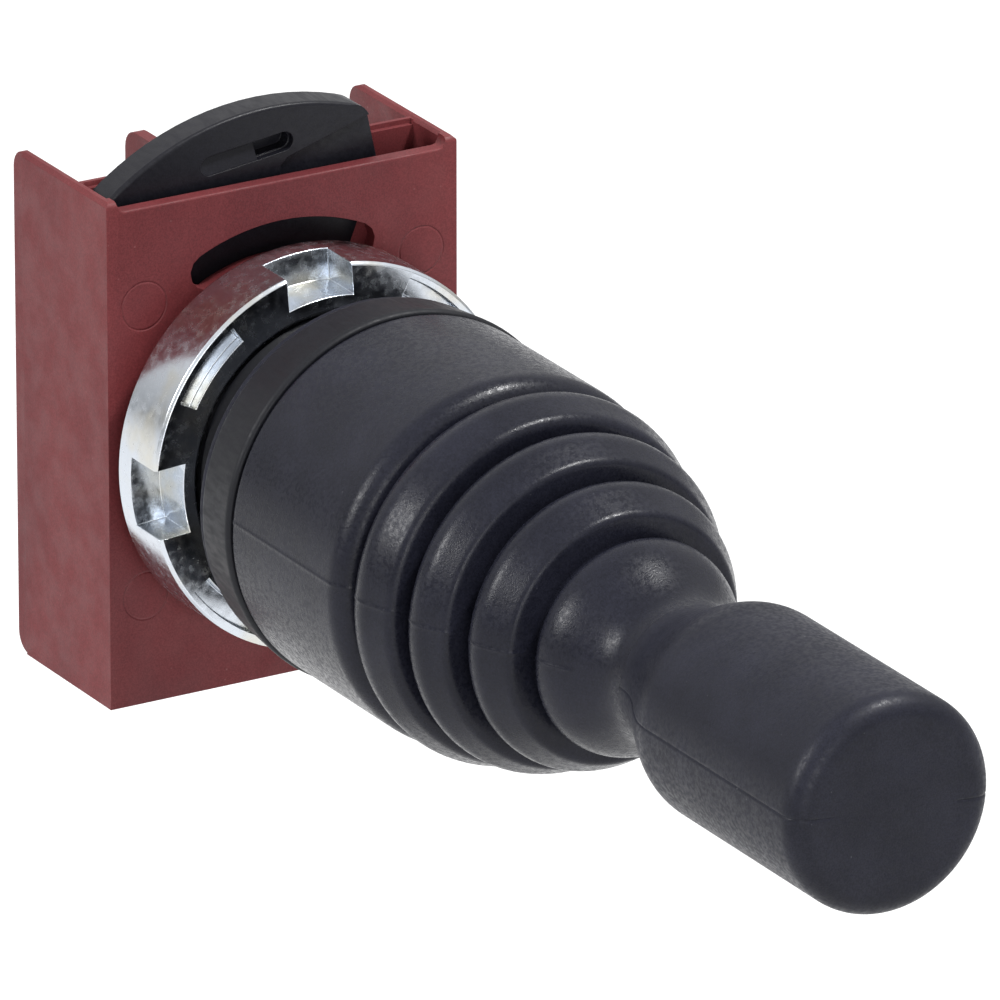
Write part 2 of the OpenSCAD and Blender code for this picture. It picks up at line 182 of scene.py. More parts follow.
class Sketch(Graph):
    """The graph of one opaque material. Its methods give output sockets."""

    def __init__(self, name: str) -> None:
        """Starts the material with a plain skin."""
        self.material = bpy.data.materials.new(name)
        self.material.use_nodes = True
        super().__init__(self.material.node_tree)
        self.place = self.add("ShaderNodeTexCoord").outputs["Object"]
        self.skin = self.add("ShaderNodeBsdfPrincipled")
        self.add("ShaderNodeOutputMaterial", {"Surface": self.skin.outputs[0]})

    def coat(self, **inputs: Any) -> None:
        """Fills inputs of the skin, named as in Blender with _ for each space."""
        self.fill(self.skin, {name.replace("_", " "): value for name, value in inputs.items()})

    def stretched(self, scale: Triple) -> Any:
        """Object coordinates scaled along each axis."""
        return self.add("ShaderNodeMapping", {"Vector": self.place, "Scale": scale}).outputs[0]

    def noise(
        self, size: float, detail: float = 3.0, rough: float = 0.55, place: Any = None
    ) -> Any:
        """Cloudy noise from 0 to 1.

        Args:
            size: Rough size of a blotch.
            detail: Octaves of finer noise.
            rough: Strength of the finer noise.
            place: Coordinates to read, object coordinates where None.

        Returns:
            Output socket with the noise.
        """
        at = self.place if place is None else place
        inputs = {"Vector": at, "Scale": 1 / (size * MM), "Detail": detail, "Roughness": rough}
        return self.add("ShaderNodeTexNoise", inputs).outputs["Fac"]

    def cells(self, size: float) -> Any:
        """Distance from the nearest of many scattered points, which lie about a size apart."""
        inputs = {"Vector": self.place, "Scale": 1 / (size * MM)}
        return self.add("ShaderNodeTexVoronoi", inputs).outputs["Distance"]

    def math(self, operation: str, a: Any, b: Any = 0.0) -> Any:
        """One of Blender's sums on two numbers or sockets."""
        return self.add("ShaderNodeMath", {0: a, 1: b}, operation=operation).outputs[0]

    def spread(self, value: Any, low: float, high: float, start: float, end: float) -> Any:
        """Moves a number from one range to another along a smooth step, held at the ends.

        Args:
            value: Socket to read.
            low: Number that gives start.
            high: Number that gives end.
            start: Result at low.
            end: Result at high.

        Returns:
            Output socket with the result.
        """
        span = {"Value": value, "From Min": low, "From Max": high, "To Min": start, "To Max": end}
        return self.add("ShaderNodeMapRange", span, interpolation_type="SMOOTHSTEP").outputs[0]

    def blend(self, share: Any, a: Any, b: Any) -> Any:
        """Mixes two colours or sockets by the share of the second."""
        return self.add("ShaderNodeMix", {0: share, 6: a, 7: b}, data_type="RGBA").outputs[2]

    def grained(self, colour: Any, size: float, depth: float) -> Any:
        """Darkens a colour by grains of a size, the darkest by a share of depth."""
        share = self.spread(self.noise(size, 2.0, 0.7), 0.3, 0.7, 0.0, depth)
        return self.blend(share, colour, (0, 0, 0))

    def relief(self, *layers: tuple[Any, float]) -> None:
        """Roughens the skin with bumps laid over each other.

        Args:
            *layers: Height sockets from 0 to 1, each with its depth in micrometres.
        """
        below: dict[str, Any] = {}
        for height, depth in layers:
            bump = {"Distance": depth * MICRON, "Height": height, **below}
            below = {"Normal": self.add("ShaderNodeBump", bump).outputs[0]}
        self.coat(**below)

    def axes(self) -> Any:
        """Object coordinates as three sockets: X, Y and Z."""
        return self.add("ShaderNodeSeparateXYZ", {0: self.place}).outputs

    def circle_line(self, centre: Pair, radius: float, width: float) -> Any:
        """A line drawn round a point, seen along the stick.

        The height is 1 at the radius from the point, and falls to 0 a width away from that line.

        Args:
            centre: Place of the point across and up.
            radius: Radius of the line.
            width: Half the width of the line.

        Returns:
            Output socket with the height.
        """
        axes = self.axes()
        dx = self.math("SUBTRACT", axes[0], centre[0] * MM)
        dz = self.math("SUBTRACT", axes[2], centre[1] * MM)
        squares = self.math("ADD", self.math("MULTIPLY", dx, dx), self.math("MULTIPLY", dz, dz))
        away = self.math("SUBTRACT", self.math("SQRT", squares), radius * MM)
        return self.spread(self.math("ABSOLUTE", away), 0.0, width * MM, 1.0, 0.0)


@dataclass(frozen=True)
class Finish:
    """A finish: named colours and roughness, laid on with grain and wear."""

    name: str

    def paint(self, s: Sketch) -> None:
        """Draws the finish on a sketch."""
        raise NotImplementedError

    def build(self) -> Material:
        """Makes the material."""
        sketch = Sketch(self.name)
        self.paint(sketch)
        return sketch.material


@dataclass(frozen=True)
class MouldedBase(Finish):
    """Glass-filled moulded plastic: flow marks, a matt grain, ejector rings on the front wall."""

    colour: Colour = linear(128, 56, 59)
    shade: Colour = linear(114, 48, 52)
    pale: Colour = linear(164, 112, 112)
    specular: float = 0.32
    grain: Pair = (0.13, 0.32)
    rings: tuple[Pair, ...] = ((11.7, 11.65), (-11.7, 11.65), (11.7, -11.1), (-11.7, -11.1))
    ring_radius: float = 1.85
    ring_width: float = 0.13
    ring_depth: float = 90.0
    front: Pair = (0.0117, 0.0124)

    def paint(self, s: Sketch) -> None:
        """Draws the finish on a sketch; the rings fade between the two Ys of the front."""
        flow = s.noise(9.0, 4.0, place=s.stretched((1, 1, 0.35)))
        body = s.blend(s.spread(flow, 0.35, 0.68, 0.0, 1.0), self.colour, self.shade)
        specks = s.spread(s.cells(0.9), 0.0, 0.13, 1.0, 0.0)
        some = s.spread(s.noise(3.0, 2.0), 0.52, 0.66, 0.0, 0.55)
        flecked = s.blend(s.math("MULTIPLY", specks, some), s.grained(body, *self.grain), self.pale)
        rough = s.spread(s.noise(2.5, 3.0), 0.3, 0.7, 0.46, 0.62)
        s.coat(Base_Color=flecked, Roughness=rough, Specular_IOR_Level=self.specular)
        lines: Any = 0.0
        for centre in self.rings:
            line = s.circle_line(centre, self.ring_radius, self.ring_width)
            lines = s.math("MAXIMUM", lines, line)
        near = s.spread(s.axes()[1], *self.front, 1.0, 0.0)
        groove = s.math("SUBTRACT", 1.0, s.math("MULTIPLY", lines, near))
        fine, coarse = s.noise(0.13, 3.0, 0.65), s.noise(1.4, 3.0)
        s.relief((fine, 15.0), (coarse, 14.0), (groove, self.ring_depth))


@dataclass(frozen=True)
class BlackPlastic(Finish):
    """Black moulded plastic with a fine grain, a little dusty."""

    colour: Colour = linear(28, 28, 35)
    dusty: Colour = linear(35, 35, 43)
    rough: float = 0.36
    grain: float = 4.0
    specular: float = 0.24

    def paint(self, s: Sketch) -> None:
        """Draws the finish on a sketch."""
        dust = s.spread(s.noise(3.2, 5.0, 0.62), 0.42, 0.75, 0.0, 0.65)
        body = s.grained(s.blend(dust, self.colour, self.dusty), 0.13, 0.35)
        streak = s.noise(0.5, 3.0, place=s.stretched((1, 0.25, 1)))
        rough = s.spread(streak, 0.3, 0.72, self.rough - 0.07, self.rough + 0.1)
        s.coat(Base_Color=body, Roughness=rough, Specular_IOR_Level=self.specular)
        s.relief((s.noise(0.12, 2.0), self.grain), (s.noise(0.9, 3.0), self.grain * 2))


@dataclass(frozen=True)
class SoftRubber(Finish):
    """Black rubber: fine pores, dusty bloom and pale specks where it has been handled."""

    colour: Colour = linear(33, 34, 45)
    bloom: Colour = linear(41, 42, 54)
    speck: Colour = linear(130, 131, 138)
    rough: float = 0.3
    pore: float = 14.0
    specular: float = 0.2

    def paint(self, s: Sketch) -> None:
        """Draws the finish on a sketch."""
        cloud = s.spread(s.noise(5.0, 5.0, 0.6), 0.36, 0.7, 0.0, 1.0)
        skin = s.grained(s.blend(cloud, self.colour, self.bloom), 0.14, 0.4)
        dot = s.spread(s.cells(0.8), 0.0, 0.11, 1.0, 0.0)
        rare = s.spread(s.noise(1.6, 3.0), 0.56, 0.7, 0.0, 0.8)
        specked = s.blend(s.math("MULTIPLY", dot, rare), skin, self.speck)
        rough = s.spread(s.noise(0.35, 3.0), 0.3, 0.7, self.rough - 0.12, self.rough + 0.12)
        s.coat(Base_Color=specked, Roughness=rough, Specular_IOR_Level=self.specular)
        s.relief((s.noise(0.15, 2.0, 0.65), self.pore), (s.noise(1.5, 3.0), self.pore))


@dataclass(frozen=True)
class CastZinc(Finish):
    """Die-cast zinc with bright plating: a soft ripple under the plating and fine pits."""

    colour: Colour = linear(206, 212, 220)
    warm: Colour = linear(208, 204, 190)
    rough: float = 0.2
    ripple: float = 4.0
    pit: float = 2.5

    def paint(self, s: Sketch) -> None:
        """Draws the finish on a sketch."""
        tone = s.spread(s.noise(4.5, 3.0), 0.45, 0.7, 0.0, 0.7)
        rough = s.spread(s.noise(0.7, 4.0), 0.32, 0.72, self.rough - 0.04, self.rough + 0.1)
        s.coat(Base_Color=s.blend(tone, self.colour, self.warm), Metallic=1.0, Roughness=rough)
        pits = s.spread(s.cells(0.17), 0.0, 0.16, 1.0, 0.0)
        soft, fine, dust = s.noise(2.6, 2.0), s.noise(0.7, 2.0), s.noise(0.12, 2.0)
        s.relief((soft, self.ripple), (fine, 0.4), (dust, 0.5), (pits, self.pit))


@dataclass(frozen=True)
class BrightMetal(Finish):
    """Turned or drawn metal with fine lines that run round the stick's axis."""

    colour: Colour = linear(190, 192, 194)
    dull: Colour = linear(150, 150, 150)
    rough: float = 0.28
    lines: float = 3.0

    def paint(self, s: Sketch) -> None:
        """Draws the finish on a sketch."""
        worn = s.spread(s.noise(2.0, 4.0), 0.4, 0.75, 0.0, 0.8)
        tool = s.noise(0.09, 2.0, place=s.stretched((0.03, 1, 0.03)))
        rough = s.spread(tool, 0.3, 0.7, self.rough - 0.08, self.rough + 0.12)
        s.coat(Base_Color=s.blend(worn, self.colour, self.dull), Metallic=1.0, Roughness=rough)
        s.relief((tool, self.lines), (s.noise(0.6, 3.0), self.lines))


@dataclass(frozen=True)
class PaleNylon(Finish):
    """Natural nylon: slightly waxy, with cloudy tone and a fine moulded grain."""

    colour: Colour = linear(216, 211, 195)
    amber: Colour = linear(196, 187, 162)
    depth: Triple = (0.001, 0.0008, 0.0005)

    def paint(self, s: Sketch) -> None:
        """Draws the finish on a sketch."""
        cloud = s.spread(s.noise(2.4, 4.0), 0.4, 0.7, 0.0, 0.8)
        rough = s.spread(s.noise(0.5, 3.0), 0.3, 0.7, 0.34, 0.5)
        s.coat(Base_Color=s.blend(cloud, self.colour, self.amber), Roughness=rough)
        s.coat(Subsurface_Weight=0.15, Subsurface_Radius=self.depth, Subsurface_Scale=0.5)
        s.relief((s.noise(0.14, 2.0), 5.0), (s.noise(0.9, 3.0), 8.0))


class Finishes:
    """One material of each finish, shared by all the pieces."""

    def __init__(self) -> None:
        """Makes the materials."""
        soot, ash, wire = linear(25, 26, 32), linear(31, 32, 39), linear(168, 170, 174)
        gold, bronze = linear(206, 176, 104), linear(168, 136, 74)
        self.base = MouldedBase("base_plastic").build()
        self.lever = BlackPlastic("lever_plastic").build()
        self.neck = BlackPlastic("neck_plastic", soot, ash, rough=0.48, grain=8.0).build()
        self.boot = SoftRubber("boot_rubber").build()
        self.grip = SoftRubber("grip_rubber", rough=0.44, pore=9.0).build()
        self.seal = SoftRubber("seal_rubber", rough=0.6, pore=20.0).build()
        self.nut = CastZinc("plated_zinc").build()
        self.gimbal = CastZinc("gimbal_zinc", rough=0.28, ripple=12.0).build()
        self.steel = BrightMetal("turned_steel").build()
        self.pressed = BrightMetal("pressed_steel", rough=0.34, lines=1.5).build()
        self.wire = BrightMetal("spring_wire", wire, rough=0.24, lines=1.0).build()
        self.brass = BrightMetal("turned_brass", gold, bronze).build()
        self.nylon = PaleNylon("pale_nylon").build()


# ---- surfaces --------------------------------------------------------------------------------


def arc(centre: Pair, radius: float, start: float, end: float, steps: int = 10) -> Points:
    """Points on a circular arc: the centre plus the radius times the cosine and sine of each angle.

    Args:
        centre: Centre of the arc.
        radius: Radius of the arc.
        start: First angle, in degrees.
        end: Last angle, in degrees.
        steps: Count of equal steps.

    Returns:
        Array of steps + 1 points.
    """
    angle = np.radians(np.linspace(start, end, steps + 1))
    return np.array(centre) + radius * np.stack([np.cos(angle), np.sin(angle)], axis=1)


def rounded(outline: Points, step: float, reach: float, closed: bool = True) -> Points:
    """Spaces an outline evenly and rounds its corners.

    The outline is read at even steps of its running length. Each point is then the mean of its
    neighbours, weighted by exp(-(distance / reach)^2 / 2).

    Args:
        outline: Corners of the outline.
        step: Distance between the new points.
        reach: Spread of the weights, about the radius that a corner gets.
        closed: Whether the last point joins the first.

    Returns:
        Array of the new points.
    """
    loop = np.vstack([outline, outline[:1]]) if closed else np.asarray(outline, float)
    run = np.concatenate([[0], np.cumsum(np.linalg.norm(np.diff(loop, axis=0), axis=1))])
    count = max(8, int(round(run[-1] / step)))
    read = np.linspace(0, run[-1], count + 1)[: count + (0 if closed else 1)]
    even = np.stack([np.interp(read, run, loop[:, k]) for k in (0, 1)], axis=1)
    span = max(1, int(3 * reach / step))
    offset = np.arange(-span, span + 1)
    weight = np.exp(-((offset * step / reach) ** 2) / 2)
    index = np.arange(len(even))[:, None] + offset[None]
    index = index % len(even) if closed else np.clip(index, 0, len(even) - 1)
    soft = (even[index] * (weight / weight.sum())[None, :, None]).sum(axis=1)
    if not closed:
        soft[[0, -1]] = even[[0, -1]]
    return soft


class Form(Enum):
    """How a grid of points closes: its rows join, its columns join, its end columns are filled."""

    RING = (True, True, False)
    BAR = (True, False, True)
    CUP = (False, True, False)


def outward_faces(xyz: Points, form: Form, first: int) -> list[list[int]]:
    """Faces of a closed surface given as a grid of points.

    The faces' signed volume, a sixth of the sum of each triangle's triple product, is negative
    where the grid runs the wrong way round, and then the faces are reversed.

    Args:
        xyz: Array of rows by columns by 3, in metres.
        form: How the grid closes.
        first: Index of the grid's first point in the mesh.

    Returns:
        Corners of each face, turned outwards.
    """
    wrap_rows, wrap_columns, caps = form.value
    index = np.arange(xyz.shape[0] * xyz.shape[1]).reshape(xyz.shape[:2])
    ends = [index[::-1, 0], index[:, -1]] if caps else []
    index = np.vstack([index, index[:1]]) if wrap_rows else index
    index = np.hstack([index, index[:, :1]]) if wrap_columns else index
    quads = np.stack([index[:-1, :-1], index[1:, :-1], index[1:, 1:], index[:-1, 1:]], axis=-1)
    quads = quads.reshape(-1, 4)
    flat = xyz.reshape(-1, 3)
    shifted = flat - flat.mean(axis=0)
    fans = [np.stack([np.full(len(e) - 2, e[0]), e[1:-1], e[2:]], axis=1) for e in ends]
    triangles = np.vstack([quads[:, [0, 1, 2]], quads[:, [0, 2, 3]], *fans])
    a, b, c = (shifted[triangles[:, k]] for k in range(3))
    turn = -1 if np.einsum("ij,ij->i", a, np.cross(b, c)).sum() < 0 else 1
    faces: list[list[int]] = []
    for group in (quads, *(e[None] for e in ends)):
        faces += (group[:, ::turn] + first).tolist()
    return faces


def made(name: str, finish: Material, *parts: tuple[Points, Form], sharp: float = 40.0) -> Piece:
    """Makes a piece from closed grids, with the points that lie on each other merged.

    Args:
        name: Name of the piece.
        finish: Its material.
        *parts: Grids of points, each with the way that it closes.
        sharp: Angle in degrees past which an edge is shaded sharp.

    Returns:
        The new piece, at the origin.
    """
    points, faces = np.empty((0, 3)), []
    for xyz, form in parts:
        faces += outward_faces(xyz, form, len(points))
        points = np.vstack([points, xyz.reshape(-1, 3)])
    mesh = bpy.data.meshes.new(name)
    mesh.from_pydata(points.tolist(), [], faces)
    work = bmesh.new()
    work.from_mesh(mesh)
    bmesh.ops.remove_doubles(work, verts=work.verts, dist=2e-7)
    work.to_mesh(mesh)
    work.free()
    return placed(mesh, finish, sharp)


def placed(mesh: bpy.types.Mesh, finish: Material, sharp: float) -> Piece:
    """Makes a mesh's object, shaded smooth up to an angle in degrees."""
    mesh.polygons.foreach_set("use_smooth", np.ones(len(mesh.polygons), bool))
    mesh.set_sharp_from_angle(angle=math.radians(sharp))
    mesh.materials.clear()
    mesh.materials.append(finish)
    piece = bpy.data.objects.new(mesh.name, mesh)
    bpy.context.scene.collection.objects.link(piece)
    return piece


Ripple = Callable[[Points, Points, Points], Points]


def even_turn(columns: int, clustered: Sequence[float] = ()) -> Points:
    """Angles once round, evenly spaced, with extra ones close to some angles.

    Args:
        columns: Count of even angles.
        clustered: Angles, in radians, that get closer columns on both sides.

    Returns:
        Sorted array of angles.
    """
    near = np.radians([-1.9, -1.1, -0.6, -0.3, 0.0, 0.3, 0.6, 1.1, 1.9])
    angles = np.linspace(0, FULL_TURN, columns, endpoint=False)
    for middle in clustered:
        gap = np.abs((angles - middle + math.pi) % FULL_TURN - math.pi)
        angles = np.concatenate([angles[gap > math.radians(2.1)], (middle + near) % FULL_TURN])
    return np.sort(angles)


def turned(
    outline: Points, rear: float, angles: Points, closed: bool = True, ripple: Ripple | None = None
) -> Points:
    """Carries an outline round the stick's axis.

    A point of the outline at radius r and distance s forward of the rear end gives, at the angle a,
    x = r cos a, z = r sin a, y = rear - s. The ripple moves the point along the outline's normal,
    which is the outline's direction turned a quarter outwards.

    Args:
        outline: Radius and forward distance of each point.
        rear: Y of the outline's zero, in metres.
        angles: Angles to carry it to, in radians.
        closed: Whether the outline's last point joins its first; otherwise both lie on the axis.
        ripple: Height from arrays of angle, radius and forward distance.

    Returns:
        Grid of points, outline by angle, in metres.
    """
    angle = angles[None, :] + np.zeros((len(outline), 1))
    radius = outline[:, :1] + np.zeros_like(angle)
    forward = outline[:, 1:2] + np.zeros_like(angle)
    if ripple is not None:
        ahead = np.roll(outline, -1, axis=0)
        along = ahead - np.roll(outline, 1, axis=0) if closed else np.gradient(outline, axis=0)
        along /= np.maximum(np.linalg.norm(along, axis=1, keepdims=True), 1e-9)
        side = np.sign((outline[:, 0] * ahead[:, 1] - ahead[:, 0] * outline[:, 1]).sum())
        height = side * ripple(angle, radius, forward)
        radius = np.maximum(radius + along[:, 1:2] * height, 0)
        forward = forward - along[:, :1] * height
        if not closed:
            radius[[0, -1]] = 0
    across, up = radius * np.cos(angle), radius * np.sin(angle)
    return np.stack([across * MM, rear - forward * MM, up * MM], axis=-1)


def parting_line(height: float, width: float, least: float = 0.0) -> Ripple:
    """A fine ridge where the two halves of a mould met.

    The ridge follows the mould's plane through the axis: at the distance d = r sin(a - turn) from
    that plane its height is the given one times exp(-(d / width)^2).

    Args:
        height: Height of the ridge.
        width: Half its width.
        least: Radius below which there is no ridge.

    Returns:
        The ripple.
    """

    def ripple(angle: Points, radius: Points, forward: Points) -> Points:
        """Height of the ridge at each point."""
        off = radius * np.sin(angle - MOULD_TURN)
        return height * np.exp(-((off / width) ** 2)) * (radius > least)

    return ripple


def screw_thread(first: float, last: float, pitch: float, depth: float, outer: float) -> Ripple:
    """A screw thread cut into the outline between two distances.

    With u the part left of s / pitch - a / (2 pi) after its whole turns, and v = 1 - |2u - 1|, the
    groove is as deep as (v - 0.12) / 0.76, held within 0 and 1, times the depth.

    Args:
        first: Forward distance where the thread starts.
        last: Forward distance where it ends.
        pitch: Distance between turns.
        depth: Depth of the groove.
        outer: Outside radius of the thread.

    Returns:
        The ripple.
    """

    def ripple(angle: Points, radius: Points, forward: Points) -> Points:
        """Height of the thread at each point, below the outline."""
        part = (forward / pitch - angle / FULL_TURN) % 1
        groove = np.clip((1 - np.abs(2 * part - 1) - 0.12) / 0.76, 0, 1)
        inside = np.clip(np.minimum(forward - first, last - forward) / 0.6, 0, 1)
        return -depth * groove * inside * (np.abs(radius - outer) < 0.05)

    return ripple


@dataclass(frozen=True)
class Coil:
    """A spring's coil: its radius at the rear and front end, its wire's radius and its turns."""

    foot: float
    head: float
    wire: float
    turns: float

    def level(self, u: Any) -> Any:
        """Share of the rise at the share u of the way; both ends close up, by sin(2 pi u) / 9."""
        return u - np.sin(FULL_TURN * u) / 9

    def part(self, rear: float, front: float, start: float = 0.0, end: float = 1.0) -> Points:
        """Carries the wire's circle along part of the coil.

        At the share u of the way the coil's radius is foot + (head - foot) u and its angle
        2 pi turns u.

        Args:
            rear: Y of the coil's rear end, in metres.
            front: Y of its front end, in metres.
            start: Share of the way at which the part starts.
            end: Share of the way at which it ends.

        Returns:
            Grid of points, wire circle by path, in metres.
        """
        u = np.linspace(start, end, int(56 * self.turns * (end - start)) + 1)[None, :]
        w = np.linspace(0, FULL_TURN, 12, endpoint=False)[:, None]
        radius = self.foot + (self.head - self.foot) * u + self.wire * np.cos(w)
        angle = FULL_TURN * self.turns * u
        rise = (rear - front) / MM - 2 * self.wire
        height = self.wire * (1 + np.sin(w)) + rise * self.level(u)
        across, up = radius * np.cos(angle), radius * np.sin(angle)
        return np.stack([across * MM, rear - height * MM, up * MM], axis=-1)


@dataclass(frozen=True)
class WornEdge:
    """Edges of a solid that are rounded more than the rest.

    An edge counts where its middle lies in the box, at least the reach away from the centre as seen
    along the stick, and its two faces turn by more than the turn, in degrees.
    """

    low: Triple
    high: Triple
    width: float
    centre: Pair = (0.0, 0.0)
    reach: float = 0.0
    turn: float = 60.0

    def weights(self, mesh: bpy.types.Mesh) -> Points:
        """Share of the width that each edge of a mesh gets.

        Args:
            mesh: Mesh whose faces are merged.

        Returns:
            Array of 1 for a chosen edge and 0 for the rest.
        """
        work = bmesh.new()
        work.from_mesh(mesh)
        turn = np.array([edge.calc_face_angle(0.0) for edge in work.edges])
        work.free()
        points = np.empty(len(mesh.vertices) * 3)
        mesh.vertices.foreach_get("co", points)
        ends = np.empty(len(mesh.edges) * 2, int)
        mesh.edges.foreach_get("vertices", ends)
        middle = points.reshape(-1, 3)[ends.reshape(-1, 2)].mean(axis=1) / MM
        inside = ((middle >= self.low) & (middle <= self.high)).all(axis=1)
        inside &= np.linalg.norm(middle[:, [0, 2]] - self.centre, axis=1) >= self.reach
        return (inside & (turn > math.radians(self.turn))).astype(float)


def softened(
    solid: Piece,
    name: str,
    finish: Material,
    width: float,
    merge: float = 0.001,
    worn: WornEdge | None = None,
    sharp: float = 32.0,
) -> Piece:
    """Copies a node's solid, merges its triangles into faces and rounds its edges.

    Args:
        solid: The node.
        name: Name of the new piece.
        finish: Its material.
        width: Width of the rounding.
        merge: Distance below which corners of the merged faces become one.
        worn: Edges that are rounded more than the rest.
        sharp: Angle in degrees past which an edge is rounded.

    Returns:
        The new piece.
    """
    mesh = solid.data.copy()
    mesh.name = name
    work = bmesh.new()
    work.from_mesh(mesh)
    bmesh.ops.remove_doubles(work, verts=work.verts, dist=MICRON)
    flat = math.radians(0.5)
    bmesh.ops.dissolve_limit(work, angle_limit=flat, verts=work.verts, edges=work.edges)
    bmesh.ops.remove_doubles(work, verts=work.verts, dist=merge * MM)
    bmesh.ops.dissolve_degenerate(work, edges=work.edges, dist=MICRON)
    work.to_mesh(mesh)
    work.free()
    piece = placed(mesh, finish, sharp)
    if worn:
        weights = mesh.attributes.new("bevel_weight_edge", "FLOAT", "EDGE")
        weights.data.foreach_set("value", worn.weights(mesh))
        rub = piece.modifiers.new("worn", "BEVEL")
        rub.width, rub.segments, rub.limit_method = worn.width * MM, 4, "WEIGHT"
        rub.use_clamp_overlap = False
    edge = piece.modifiers.new("edge", "BEVEL")
    edge.width, edge.segments, edge.limit_method = width * MM, 3, "ANGLE"
    edge.angle_limit, edge.miter_outer = math.radians(sharp), "MITER_SHARP"
    edge.harden_normals = True
    return piece


# ---- sub-assemblies --------------------------------------------------------------------------


class Slot(str, Enum):
    """Material slots of the record."""

    RED = "red_plastic"
    BLACK = "black_plastic"
    RUBBER = "black_rubber"
    ZINC = "zinc"
    STEEL = "steel"


@dataclass
class Assembly:
    """A group of pieces that shares the frame's nodes and the finishes."""

    nodes: dict[str, Piece]
    finishes: Finishes

    def rear(self, node: str) -> float:
        """Y of a node's rear end, in metres."""
        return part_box(node)[1].y

    def front(self, node: str) -> float:
        """Y of a node's front end, in metres."""
        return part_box(node)[0].y

    def carry(self, piece: Piece, body: Body, slot: Slot, *stands_for: str) -> None:
        """Sets a finished piece on its body.

        Args:
            piece: The piece.
            body: The body that it moves with.
            slot: A slot of the record; not used.
            *stands_for: Nodes that the piece replaces.
        """
        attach(piece, body.value)
        if stands_for:
            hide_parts(*stands_for)
        log.info("%s: %d faces, on %s", piece.name, len(piece.data.polygons), body.value)

    def stretch(
        self, piece: Piece, bodies: tuple[Body, Body], ends: Pair, slot: Slot, *stands_for: str
    ) -> None:
        """Bakes a finished piece's transform into its mesh, and hides the nodes that it replaces.

        Args:
            piece: The piece.
            bodies: Two bodies; not used.
            ends: Two Ys, in metres; not used.
            slot: A slot of the record; not used.
            *stands_for: Nodes that the piece replaces.
        """
        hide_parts(*stands_for)
        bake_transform(piece)

    def dress(self, finish: Material, *names: str) -> None:
        """Gives nodes that keep their shape a finish.

        Args:
            finish: The material.
            *names: Names of the nodes.
        """
        for name in names:
            for place in self.nodes[name].material_slots:
                place.material = finish
            log.info("%s: %s", name, finish.name)


@dataclass
class MountingBase(Assembly):
    """The moulded base behind the panel, open at the back for contact blocks."""

    edge: float = 0.13
    merge: float = 0.04
    worn: WornEdge = WornEdge((-13.6, 11.99, 19.25), (13.6, 13.21, 19.6), 0.17)

    def build(self) -> None:
        """Makes the base."""
        solid, finish = self.nodes["base"], self.finishes.base
        base = softened(solid, "mounting_base", finish, self.edge, self.merge, self.worn)
        self.carry(base, Body.HEAD, Slot.RED, "base")


@dataclass
class LockingLever(Assembly):
    """The lever whose ring locks the base onto the neck."""

    edge: float = 0.16
    worn: WornEdge = WornEdge((-13.6, 13.99, 17.6), (6.9, 14.01, 24.6), 0.28, (0.45, 2.0), 22.0)
    slot_half: Pair = (3.15, 0.73)
    slot_centre: Pair = (-1.85, 21.05)
    slot_turn: float = 7.2
    slot_depth: float = 0.6
    wedge: float = 0.5

    def build(self) -> None:
        """Makes the lever and the sloping floor of its finger slot."""
        solid, finish = self.nodes["lever"], self.finishes.lever
        lever = softened(solid, "locking_lever", finish, self.edge, worn=self.worn)
        self.carry(lever, Body.LEVER, Slot.BLACK, "lever")
        floor = made("finger_slot_floor", finish, (self.slot_floor(), Form.BAR))
        self.carry(floor, Body.LEVER, Slot.BLACK)

    def slot_floor(self) -> Points:
        """Wedge on the floor of the finger slot, thick along its lower side.

        Its outline is a half circle on the left that runs into a straight right end. Across the
        slot, at v from -1 below to 1 above, it rises by the wedge times (1 - v) / 2.

        Returns:
            Grid of points, outline by the wedge's two sides.
        """
        half, radius = self.slot_half
        end = [(half / 4, -radius), (half / 4, radius)]
        u, v = np.vstack([arc((-half, 0), radius, 90, 270, 20), end]).T
        turn = math.radians(self.slot_turn)
        x = self.slot_centre[0] + u * math.cos(turn) - v * math.sin(turn)
        z = self.slot_centre[1] + u * math.sin(turn) + v * math.cos(turn)
        floor = self.front("lever") + self.slot_depth * MM
        under = np.full_like(x, floor + 0.02 * MM)
        over = floor - (0.03 + self.wedge * (1 - v / radius) / 2) * MM
        return np.stack([np.stack([x * MM, y, z * MM], axis=-1) for y in (under, over)], axis=1)


@dataclass
class RingNut(Assembly):
    """The notched nut that clamps the panel."""

    edge: float = 0.12

    def build(self) -> None:
        """Makes the nut."""
        nut = softened(self.nodes["ring_nut"], "notched_nut", self.finishes.nut, self.edge)
        self.carry(nut, Body.HEAD, Slot.ZINC, "ring_nut")


